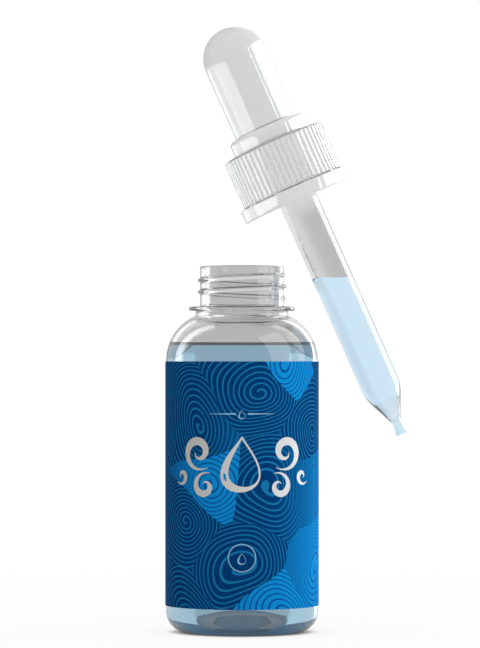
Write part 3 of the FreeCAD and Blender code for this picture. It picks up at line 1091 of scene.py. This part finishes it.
@dataclass(frozen=True)
class Ornament:
    """A generic ornament: a drop between scrolls, a rule above and a plain ring below.

    Each curl has its place out and up from the middle, where it starts, how far it winds, its radius
    and its weight.
    """

    middle: float = 33.8
    scale: float = 1.2
    drop_size: float = 4.3
    drop_lift: float = 0.4
    small_drop_sink: float = 0.1
    rule_drop_size: float = 0.9
    ring_drop_size: float = 1.1
    rule_height: float = 43.9
    rule_start: float = 1.2
    rule_end: float = 6.6
    rule_weight: float = 0.14
    rule_thinnest: float = 0.03
    rule_pieces: int = 8
    ring_height: float = 15.6
    ring_radius: float = 2.7
    ring_weight: float = 0.11
    drop_width: float = 0.95
    drop_sharpness: float = 1.4
    drop_weights: tuple[float, float] = (0.035, 0.13)
    drop_heavy_at: float = 0.36
    drop_heavy_reach: float = 0.3
    curl_pace: float = 0.8
    curl_depth: float = 0.8
    curl_swell: float = 1.5
    curl_thinnest: float = 0.05
    curl_pieces: int = 56
    round_pieces: int = 64
    curls: tuple[tuple[float, ...], ...] = (
        (7.6, 2.1, -0.35, 1.35, 3.1, 0.62), (6.4, -3.4, 0.32, -1.2, 2.3, 0.5),
        (11.3, -1.9, -0.1, -1.0, 1.5, 0.34))

    def strokes(self) -> Iterable[Stroke]:
        """Give the strokes one by one, in millimetres across and up the label."""
        yield self.drop(self.middle + self.drop_lift, self.drop_size * self.scale)
        for side in (-1.0, 1.0):
            for out, up, start, turns, radius, weight in self.curls:
                yield self.scroll(side, out * self.scale, self.middle + up * self.scale, start, turns,
                                  radius * self.scale, weight * self.scale)
            yield self.rule(side * self.rule_start, side * self.rule_end)
        yield self.drop(self.rule_height - self.small_drop_sink, self.rule_drop_size)
        yield self.ring()
        yield self.drop(self.ring_height - self.small_drop_sink, self.ring_drop_size)

    def drop(self, up: float, size: float) -> Stroke:
        """Return a drop's outline, thick on its left and thin on its right, pale where it is small.

        Args:
            up: The height of the drop's middle.
            size: Half the drop's height.

        Returns:
            The stroke.
        """
        def path(share: float) -> Vector:
            """Return the outline's point."""
            turn = math.tau * share
            width = self.drop_width * math.sin(turn) * math.sin(turn / 2) ** self.drop_sharpness
            return Vector((-size * width, up + size * math.cos(turn), 0.0))

        def half_width(share: float) -> float:
            """Return the half width, which swells on the left."""
            thin, swell = self.drop_weights
            off = abs(share - self.drop_heavy_at) / self.drop_heavy_reach
            return size * (thin + swell * smooth(1 - off))

        return Stroke(path, half_width, self.round_pieces, size < self.ring_radius)

    def ring(self) -> Stroke:
        """Return a plain ring of even width."""
        def path(share: float) -> Vector:
            """Return the ring's point."""
            turn = math.tau * share
            return Vector((math.cos(turn), math.sin(turn), 0.0)) * self.ring_radius + middle

        middle = Vector((0.0, self.ring_height, 0.0))
        return Stroke(path, lambda share: self.ring_weight, self.round_pieces, True)

    def rule(self, start: float, end: float) -> Stroke:
        """Return a straight rule that thins towards its outer end."""
        return Stroke(lambda share: Vector((start + (end - start) * share, self.rule_height, 0.0)),
                      lambda share: self.rule_weight * (1 - share) + self.rule_thinnest,
                      self.rule_pieces, True)

    def scroll(self, side: float, out: float, up: float, start: float, turns: float, radius: float,
               weight: float) -> Stroke:
        """Return a stroke that winds in to a small curl.

        Args:
            side: -1 for the left side and 1 for the right.
            out: How far the curl's middle is from the label's middle.
            up: The height of the curl's middle.
            start: Where the stroke starts, in turns from straight out.
            turns: How far it winds.
            radius: Its radius at the start.
            weight: Half its width where it is widest.

        Returns:
            The stroke.
        """
        def path(share: float) -> Vector:
            """Return the curl's point."""
            angle = math.tau * (start + turns * share)
            arm = radius * (1.0 - self.curl_depth * share ** self.curl_pace)
            return Vector((side * (out + arm * math.cos(angle)), up + arm * math.sin(angle), 0.0))

        def half_width(share: float) -> float:
            """Return the half width, which swells in the middle of the stroke."""
            swell = math.sin(math.pi * share ** self.curl_pace) ** self.curl_swell
            return self.curl_thinnest + weight * swell

        return Stroke(path, half_width, self.curl_pieces)


# The dropper

@dataclass
class DropperAxis:
    """Where the dropper is held: the place of its own axis in the frame."""

    joint: str = "collar_turn"

    def __post_init__(self) -> None:
        """Read the held point and the lean from the collar's joint."""
        joint = next(joint for joint in frame["joints"] if joint["name"] == self.joint)
        self.held = Vector(joint["pos_m"]) / MM
        self.up = Vector(joint["axis"])
        lean = UP.rotation_difference(self.up).to_matrix().to_4x4()
        self.place = Matrix.Translation(self.held) @ lean

    def point(self, height: float) -> Vector:
        """Return the point of the axis at a height, in metres in the frame."""
        return (self.held + self.up * height) * MM


@dataclass
class Collar:
    """The ribbed screw collar with its raised boss, and the tamper ring under it."""

    axis: DropperAxis
    foot: float = 3.0
    top: float = 13.0
    bore: float = 9.05
    wall: float = 1.6
    roof: float = 1.1
    edge_round: float = 0.12
    bevel_width: float = 0.9
    bevel_height: float = 0.5
    bevel_round: float = 0.2
    boss_bore: float = 6.56
    boss_wall: float = 1.54
    boss_height: float = 3.2
    boss_round: float = 0.9
    boss_edge_round: float = 0.15
    rib_count: int = 60
    groove_radius: float = 0.36
    groove_depth: float = 0.3
    groove_shade: float = 0.45
    groove_shade_reach: float = 1.5
    gap_shade: float = 0.5
    gap_shade_depth: float = 0.12
    thread_lead: float = 1.6
    thread_turns: float = 1.75
    thread_rows: int = 58
    groove_foot: float = 0.35
    thread_foot: float = 0.3
    wall_band: float = 0.6
    wall_rows: int = 2
    bevel_rows: int = 4
    nook_foot: float = 0.45
    nook_height: float = 0.5
    ring_height: float = 2.75
    ring_inner: float = 10.8
    ring_wall: float = 0.7
    ring_round: float = 0.3
    snap_bead: float = 0.5
    snap_bead_heights: tuple[float, float, float] = (0.9, 0.5, 0.1)
    lip_radius: float = 9.5
    lip_thickness: float = 0.7
    lip_round: float = 0.1
    bridge_count: int = 10
    bridge_width: float = 0.8
    bridge_sink: float = 0.2
    steps_a_rib: int = 12
    ring_steps: int = 240

    def __post_init__(self) -> None:
        """Work out the radii that follow from the sizes."""
        self.outer = self.bore + self.wall
        self.ring_outer = self.ring_inner + self.ring_wall

    def shell(self) -> BMesh:
        """Return the collar, its ribs and its inner thread in one closed mesh."""
        outer, boss, ceiling = self.outer, self.boss_bore + self.boss_wall, self.top - self.roof
        boss_top = self.top + self.boss_height
        line = Outline(self.bore, self.foot).to(
            (outer, self.foot, self.edge_round), (outer, self.foot + self.groove_foot),
            (outer, self.top - self.bevel_height, self.edge_round, self.wall_rows),
            (outer - self.bevel_width, self.top, self.bevel_round, self.bevel_rows),
            (boss, self.top, self.boss_edge_round),
            (boss, self.top + self.wall_band, 0.0, self.wall_rows),
            (boss, boss_top, self.boss_round), (self.boss_bore, boss_top, self.boss_edge_round),
            (self.boss_bore, ceiling), (self.bore, ceiling, self.bevel_round),
            (self.bore, ceiling - self.wall_band),
            (self.bore, self.foot + self.thread_foot, 0.0, self.thread_rows))
        mesh = line.close().turned(self.rib_count * self.steps_a_rib, sectors=self.rib_count)
        Thread(self.bore, self.foot + self.thread_lead, self.thread_turns, outward=False).raise_on(mesh)
        self.cut_grooves(mesh)
        mark_inside(mesh, outer)
        shade_nooks(mesh, self.nook)
        return mesh

    def nook(self, radius: float, height: float) -> float:
        """Return how deep a point sits in painted shade: in a groove, at the foot of the boss, in the
        bore or at the gap over the ring.

        Args:
            radius: The point's distance from the axis.
            height: Its height over the ring's foot.

        Returns:
            0 in the open to 1 in the deepest painted shade.
        """
        # Painted shade: full on the bevel, fading up the foot of the boss; then the bore, the gap and
        # the grooves.
        if height > self.top - self.nook_foot:
            return 1.0 - (height - self.top) / self.nook_height
        if radius < self.bore + TOUCH:
            return 1.0
        if height < self.foot + self.edge_round + TOUCH:
            return self.gap_shade
        depth = (self.outer - radius) / self.groove_depth
        return depth * self.groove_shade if depth < self.groove_shade_reach else 0.0

    def cut_grooves(self, mesh: BMesh) -> None:
        """Pull the outer wall's points in to form the round grooves between the ribs.

        Args:
            mesh: The collar's mesh.
        """
        share = math.tau / self.rib_count
        for point in mesh.verts:
            radius = reach(point.co)
            if radius < self.outer - self.groove_depth - TOUCH:
                continue
            angle = math.atan2(point.co.y, point.co.x)
            off_groove = (angle / share - round(angle / share)) * share * self.outer
            inside = self.groove_radius ** 2 - off_groove ** 2
            depth = math.sqrt(inside) - self.groove_radius + self.groove_depth if inside > 0 else 0.0
            limit = self.outer - max(depth, 0.0)
            if radius > limit:
                pull_to(point, limit)

    def tamper_ring(self) -> BMesh:
        """Return the ring with the small bridges that hold it to the collar."""
        outer, inner, top = self.ring_outer, self.ring_inner, self.ring_height
        lip_foot, shaded = top - self.lip_thickness, top - self.gap_shade_depth
        bead_top, bead_crest, bead_foot = self.snap_bead_heights
        mesh = Outline(inner, 0.0).to(
            (outer, 0.0, self.ring_round), (outer, top, self.ring_round),
            (self.lip_radius, top, self.lip_round), (self.lip_radius, lip_foot, self.lip_round),
            (inner, lip_foot), (inner, bead_top),
            (inner - self.snap_bead, bead_crest, self.bevel_round), (inner, bead_foot),
        ).close().turned(self.ring_steps)
        low, width = top - self.bridge_sink, self.bridge_width
        place = Matrix.Translation((self.lip_radius + width / 2, 0.0, (low + self.foot) / 2))
        block = Matrix.Diagonal((width, width, self.foot - low, 1.0))
        for turn in range(self.bridge_count):
            spin = Matrix.Rotation(math.tau * turn / self.bridge_count, 4, "Z")
            bmesh.ops.create_cube(mesh, size=1.0, matrix=spin @ place @ block)
        mark_inside(mesh, outer)
        # Painted shade on the ring's top, at the gap under the collar.
        shade_nooks(mesh, lambda radius, height: self.gap_shade if height > shaded else 0.0)
        return mesh

    def build(self) -> list[Object]:
        """Build and dress the collar and the ring."""
        # The insides glow with painted light; the collar's bore is in painted shade instead.
        finishes = skins(
            GlossPolypropylene(), GlossPolypropylene("white_polypropylene_inside_painted_glow", glow=0.6))
        collar = finished("screw_collar", self.shell(), finishes, self.axis.place)
        ring = finished("loose_tamper_ring", self.tamper_ring(), finishes, self.axis.place)
        return [ride(collar, Body.COLLAR, "white_plastic", "collar"),
                ride(ring, Body.COLLAR, "white_plastic", "tamper_ring")]


@dataclass
class Bulb:
    """The soft bulb: a domed tube, and a round foot that sits in the collar."""

    axis: DropperAxis
    radius: float = 6.5
    wall: float = 1.1
    top: float = 37.79
    joint_height: float = 15.8
    boss_top: float = 16.2
    flange_foot: float = 10.9375
    flange_thickness: float = 0.9
    flange_radius: float = 8.5
    flange_round: float = 0.25
    inside_round: float = 0.3
    socket_height: float = 4.0
    socket_radius: float = 3.96
    nook_height: float = 0.5
    nook_band: float = 0.6
    nook_rows: int = 7
    wall_rows: int = 12
    dome_steps: int = 24
    inner_dome_steps: int = 20
    kept_when_pinched: float = 0.62
    steps: int = 144

    def __post_init__(self) -> None:
        """Work out the inner radius."""
        self.inner = self.radius - self.wall

    def tube(self) -> BMesh:
        """Return the hollow tube under its dome."""
        shoulder = self.top - self.radius
        line = Outline(self.radius, self.joint_height)
        line.to((self.radius, self.boss_top + self.nook_band, 0.0, self.nook_rows),
                (self.radius, shoulder, 0.0, self.wall_rows))
        line.arc((0.0, shoulder), 90.0, self.dome_steps).to((0.0, self.top - self.wall))
        line.arc((0.0, shoulder), -90.0, self.inner_dome_steps)
        line.to((self.inner, self.joint_height, 0.0, self.wall_rows))
        mesh = line.close().turned(self.steps)
        # Painted shade where the tube leaves the boss.
        shade_nooks(mesh, lambda radius, height: 1.0 - abs(height - self.boss_top) / self.nook_height)
        return mesh

    def foot(self) -> BMesh:
        """Return the flange and the socket that grips the pipette."""
        ledge = self.flange_foot + self.socket_height
        flange_top = self.flange_foot + self.flange_thickness
        return Outline(self.socket_radius, self.flange_foot).to(
            (self.flange_radius, self.flange_foot, self.flange_round),
            (self.flange_radius, flange_top, self.flange_round),
            (self.radius, flange_top, self.inside_round), (self.radius, self.joint_height),
            (self.inner, self.joint_height), (self.inner, ledge, self.inside_round),
            (self.socket_radius, ledge)).close().turned(self.steps)

    def build(self) -> list[Object]:
        """Build and dress the bulb."""
        rubber = skins(SiliconeRubber())
        tube = finished("bulb_tube", self.tube(), rubber, self.axis.place)
        foot = finished("bulb_foot", self.foot(), rubber, self.axis.place)
        ride(tube, Body.DROPPER, "white_rubber", "bulb")
        tuple(self.axis.point(self.top / 2))
        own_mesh(tube)
        return [tube, ride(foot, Body.DROPPER, "white_rubber")]


@dataclass
class NeckSeal:
    """The seal that plugs the mouth: a disc, a plug skirt and a sleeve round the pipette."""

    axis: DropperAxis
    disc_foot: float = 10.0375
    thickness: float = 0.9
    radius: float = 8.95
    edge_round: float = 0.15
    skirt_radius: float = 7.45
    skirt_depth: float = 2.4
    skirt_wall: float = 0.8
    skirt_round: float = 0.3
    sleeve_bore: float = 3.96
    sleeve_wall: float = 0.9
    sleeve_round: float = 0.2
    steps: int = 144

    def ring(self) -> BMesh:
        """Return the seal's mesh."""
        foot, soft = self.disc_foot, self.sleeve_round
        low, top = foot - self.skirt_depth, foot + self.thickness
        sleeve = self.sleeve_bore + self.sleeve_wall
        inside = self.skirt_radius - self.skirt_wall
        return Outline(self.sleeve_bore, low).to(
            (sleeve, low, soft), (sleeve, foot, soft), (inside, foot, soft), (inside, low, soft),
            (self.skirt_radius, low, self.skirt_round), (self.skirt_radius, foot),
            (self.radius, foot, self.edge_round), (self.radius, top, self.edge_round),
            (self.sleeve_bore, top)).close().turned(self.steps)

    def build(self) -> list[Object]:
        """Build and dress the seal."""
        seal = finished("mouth_seal", self.ring(), skins(SoftPolyethylene()), self.axis.place)
        return [ride(seal, Body.DROPPER, "seal_plastic", "neck_seal")]


@dataclass
class Pipette:
    """The drawn tube with its small nozzle, and the oil standing in it."""

    axis: DropperAxis
    radius: float = 3.93
    wall: float = 0.95
    ledge: float = 14.9375
    edge_round: float = 0.2
    flare_reach: float = 0.77
    flare_thickness: float = 0.8
    reach: float = 51.0032
    cone_length: float = 6.7
    cone_round: float = 1.6
    nozzle_length: float = 2.7
    waist_radius: float = 0.9
    waist_bore: float = 0.3
    waist_round: float = 0.9
    tip_radius: float = 1.25
    tip_bore: float = 0.75
    drawn_height: float = 34.3
    # How far the painted highlight on the left side and at the top reaches.
    painted_pale_side: float = 0.15
    painted_pale_top: float = 3.5
    oil_overlap: float = 0.05
    oil_spare: float = 1.2
    oil_rows: int = 16
    wall_rows: int = 24
    steps: int = 96

    def __post_init__(self) -> None:
        """Work out the heights of the tip, the waist, the cone and the oil's surface."""
        self.tip = -self.reach
        self.waist = self.tip + self.nozzle_length
        self.cone_top = self.waist + self.cone_length
        self.level = self.tip + self.drawn_height
        self.bore = self.radius - self.wall
        self.upright = self.axis.place.to_3x3().inverted() @ UP

    def glass(self) -> BMesh:
        """Return the tube, its inner wall split where the oil's surface meets it."""
        flare, top = self.radius + self.flare_reach, self.ledge + self.flare_thickness
        mesh = Outline(self.tip_bore, self.tip).to(
            (self.tip_radius, self.tip, self.edge_round),
            (self.waist_radius, self.waist, self.waist_round),
            (self.radius, self.cone_top, self.cone_round),
            (self.radius, self.ledge, 0.0, self.wall_rows),
            (flare, self.ledge, self.edge_round), (flare, top, self.edge_round),
            (self.bore, top, self.edge_round), (self.bore, self.cone_top, self.cone_round),
            (self.waist_bore, self.waist, self.waist_round)).close().turned(self.steps)
        self.cut_level(mesh)
        mark_inside(mesh, self.radius)
        # Painted highlight: the left side and the top are painted paler through the mask layer.
        pale = mesh.verts.layers.float.new(PAINTED_LIGHT_LAYER)
        for point in mesh.verts:
            left = smooth(self.painted_pale_side - point.co.x / self.radius)
            point[pale] = max(left, smooth(1.0 + point.co.z / self.painted_pale_top))
        for face in mesh.faces:
            centre = face.calc_center_median()
            face.material_index += 2 if (centre - UP * self.level).dot(self.upright) < 0 else 0
            if centre.z < self.waist + self.waist_radius:
                face.material_index = 4
        return mesh

    def cut_level(self, mesh: BMesh, clear: bool = False) -> list[BMEdge]:
        """Cut a mesh at the oil's surface, which is level although the dropper leans.

        Args:
            mesh: The mesh, on the dropper's axis.
            clear: Whether all above the cut is taken away.

        Returns:
            The edges of the cut.
        """
        cut = bmesh.ops.bisect_plane(mesh, geom=everything(mesh), plane_co=UP * self.level,
                                     plane_no=self.upright, clear_outer=clear, dist=TOUCH / 10)
        return of_kind(BMEdge, cut["geom_cut"])

    def oil(self) -> BMesh:
        """Return the drawn oil, made with some to spare and then cut at its level."""
        over, top = self.oil_overlap, self.level + self.bore * self.oil_spare
        mesh = Outline(0.0, self.tip).to(
            (self.tip_bore + over, self.tip), (self.waist_bore + over, self.waist, self.waist_round),
            (self.bore + over, self.cone_top, self.cone_round),
            (self.bore + over, top, 0.0, self.oil_rows),
            (0.0, top)).turned(self.steps)
        bmesh.ops.edgeloop_fill(mesh, edges=self.cut_level(mesh, clear=True))
        align(mesh)
        return mesh

    def build(self) -> list[Object]:
        """Build and dress the tube and its oil."""
        # The dry outside is painted grey in its core and paler on its left side and top: painted shade
        # and painted highlight.
        tints = (("dry_outside_painted_light", "#c2c2c2", "#e2e2e2"), ("dry_inside", "#f2f2f2", "#f2f2f2"),
                 ("wet_outside", "#e4f0f8", "#e4f0f8"), ("wet_inside", "#ffffff", "#ffffff"),
                 ("wet_nozzle", "#e6f3f8", "#e6f3f8"))
        glass = finished("pipette_tube", self.glass(), skins(*(
            ClearGlass(f"tube_glass_{part}", tint, pale, ior=1.47, ripple_strength=0.01)
            for part, tint, pale in tints)), self.axis.place)
        dye = DyedOil("pipette_nail_oil", dye="#a8dff8", density=75.0)
        oil = finished("pipette_oil_fill", self.oil(), skins(dye), self.axis.place)
        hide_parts("pipette_oil")
        low_edge = self.level - self.bore * 0.5
        tuple(self.axis.point(self.cone_top))
        tuple(self.axis.point(low_edge))
        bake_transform(oil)
        return [ride(glass, Body.DROPPER, "pipette_glass", "pipette"), oil]


# The studio

class Lit(Enum):
    """What a lamp lights."""

    ALL = "everything"
    WHITE = "the white collar and bulb"
    CLEAR = "the bottle"
    PIPETTE = "the pipette"


@dataclass(frozen=True)
class Softbox:
    """A soft lamp: a lit rectangle that faces a point, out of the camera's sight.

    One that lights some pieces alone shows only in their gloss, and through glass where it says so.
    """

    name: str
    place: tuple[float, float, float]
    width: float
    height: float
    radiance: float
    lit: Lit = Lit.ALL
    aim: tuple[float, float, float] = (0.0, 0.0, 0.1)
    through_glass: bool = False

    def hang(self, groups: dict[Lit, Collection]) -> None:
        """Hang the lamp.

        Args:
            groups: The pieces that a lamp of each kind lights, where it doesn't light all.
        """
        lamp = bpy.data.lights.new(self.name, "AREA")
        lamp.shape = "RECTANGLE"
        lamp.size, lamp.size_y = self.width, self.height
        lamp.energy = self.radiance * math.pi * self.width * self.height
        thing = shown(bpy.data.objects.new(self.name, lamp))
        thing.location = self.place
        look = Vector(self.aim) - Vector(self.place)
        thing.rotation_euler = look.to_track_quat("-Z", "Y").to_euler()
        thing.visible_camera = False
        thing.visible_transmission = self.through_glass
        thing.visible_diffuse = self.lit is Lit.ALL
        if self.lit in groups:
            thing.light_linking.receiver_collection = groups[self.lit]


@dataclass(frozen=True)
class Flag:
    """A grey card behind the object that only glosses see, so that clear and white edges stand out."""

    name: str = "left_flag"
    place: tuple[float, float, float] = (-0.45, 0.5, 0.4)
    aim: tuple[float, float, float] = (0.0, 0.0, 0.1)
    width: float = 0.9
    height: float = 1.6

    def hang(self) -> None:
        """Hang the card."""
        look = (Vector(self.aim) - Vector(self.place)).to_track_quat("Z", "Y").to_matrix().to_4x4()
        size = Matrix.Diagonal((self.width / MM, self.height / MM, 1.0, 1.0))
        place = Matrix.Translation(Vector(self.place) / MM) @ look @ size
        thing = stage_sheet(self.name, place, GreyCard())
        thing.visible_camera = thing.visible_diffuse = False
        thing.visible_transmission = thing.visible_shadow = False


def stage_sheet(name: str, place: Matrix, finish: Finish) -> Object:
    """Return a flat sheet for the studio.

    Args:
        name: The sheet's name.
        place: Its place and size, in millimetres.
        finish: Its finish.

    Returns:
        The sheet.
    """
    mesh = bmesh.new()
    bmesh.ops.create_grid(mesh, x_segments=1, y_segments=1, size=0.5, matrix=place)
    thing = finished(name, mesh, skins(finish))
    return thing


@dataclass
class Studio:
    """The camera, the lamps, the white surroundings and the paper floor."""

    camera_distance: float = 0.7
    camera_height: float = 0.0537
    lens: float = 193.8
    sensor_height: float = 36.0
    shift_across: float = -0.0031
    shift_up: float = 0.0617
    nearest_seen: float = 0.01
    farthest_seen: float = 20.0
    fill: float = 0.7
    floor_size: float = 4.0
    floor_drop: float = 0.02
    bounces: int = 24
    flag: Flag = Flag()
    softboxes: tuple[Softbox, ...] = (
        Softbox("side_softbox", (0.48, 0.1, 0.2), 0.16, 0.5, 1.5),
        Softbox("right_softbox", (0.33, 0.3, 0.3), 0.33, 0.8, 2.6, Lit.CLEAR),
        Softbox("right_glow", (0.36, 0.33, 0.3), 0.5, 0.8, 0.45, Lit.CLEAR, through_glass=True),
        Softbox("left_glow", (-0.36, 0.33, 0.3), 0.5, 0.8, 0.6, Lit.CLEAR, through_glass=True),
        Softbox("front_right_card", (0.415, -0.22, 0.3), 0.36, 0.6, 2.2, Lit.CLEAR),
        Softbox("left_strip", (-0.42, 0.17, 0.45), 0.13, 1.1, 4.0, Lit.CLEAR, (0.0, 0.0, 0.45), True),
        Softbox("pipette_card", (0.46, 0.19, 0.32), 0.44, 0.88, 5.0, Lit.PIPETTE),
        Softbox("left_card", (-0.15, -0.09, 0.0365), 0.22, 0.073, 6.0, Lit.WHITE, (0.0, -0.09, 0.0365)),
        Softbox("far_left_card", (-0.15, 0.14, 0.0365), 0.24, 0.073, 2.4, Lit.WHITE,
                (0.0, 0.14, 0.0365)),
        Softbox("right_strip", (0.3, -0.245, 0.24), 0.03, 0.3, 16.0, Lit.WHITE, (0.0, -0.245, 0.24)),
        Softbox("right_card", (0.3, 0.225, 0.24), 0.75, 0.3, 9.0, Lit.WHITE, (0.0, 0.225, 0.24)),
    )

    def set_camera(self) -> None:
        """Look at the object level, from the front, as the photograph does."""
        camera = bpy.data.cameras.new("camera")
        camera.sensor_fit = "VERTICAL"
        camera.sensor_height, camera.lens = self.sensor_height, self.lens
        camera.shift_x, camera.shift_y = self.shift_across, self.shift_up
        camera.clip_start, camera.clip_end = self.nearest_seen, self.farthest_seen
        thing = shown(bpy.data.objects.new("camera", camera))
        thing.location = (0.0, -self.camera_distance, self.camera_height)
        thing.rotation_euler = (math.pi / 2, 0.0, 0.0)
        bpy.context.scene.camera = thing

    def light_world(self) -> None:
        """Make the surroundings white to the eye and a soft fill on the object."""
        world = bpy.data.worlds.new("white_studio")
        world.use_nodes = True
        nodes = Nodes(world.node_tree)
        strength = nodes.spread(nodes.looking(), wanted=(self.fill, 1.0))
        white = nodes.add("Background", {"Color": "#ffffff", "Strength": strength})
        nodes.add("OutputWorld", {"Surface": white[0]})
        bpy.context.scene.world = world

    def build(self, pieces: dict[Lit, list[Object]]) -> None:
        """Set up the whole studio.

        Args:
            pieces: The pieces that some lamps light alone.
        """
        self.set_camera()
        self.light_world()
        floor = Matrix.Translation((0.0, 0.0, -self.floor_drop)) @ Matrix.Scale(self.floor_size / MM, 4)
        stage_sheet("paper_floor", floor, StudioSweep())
        groups = {}
        for lit, things in pieces.items():
            groups[lit] = bpy.data.collections.new(lit.name.lower())
            for thing in things:
                groups[lit].objects.link(thing)
        for softbox in self.softboxes:
            softbox.hang(groups)
        self.flag.hang()
        scene = bpy.context.scene
        scene.view_settings.view_transform = "Standard"
        scene.cycles.max_bounces = scene.cycles.transmission_bounces = self.bounces


def main() -> None:
    """Build the studio, the bottle and the dropper, and report each piece."""
    logging.basicConfig(level=logging.INFO, format="%(message)s")
    bottle, axis = Bottle(), DropperAxis()
    made = [maker.build() for maker in (
        Collar(axis), Bulb(axis), bottle, WrapLabel(bottle), NeckSeal(axis), Pipette(axis))]
    Studio().build({Lit.WHITE: made[0] + made[1], Lit.CLEAR: made[2], Lit.PIPETTE: made[5]})
    for piece in sum(made, []):
        LOG.info("%s: %d faces", piece.name, len(piece.data.polygons))


if __name__ == "__main__":
    main()
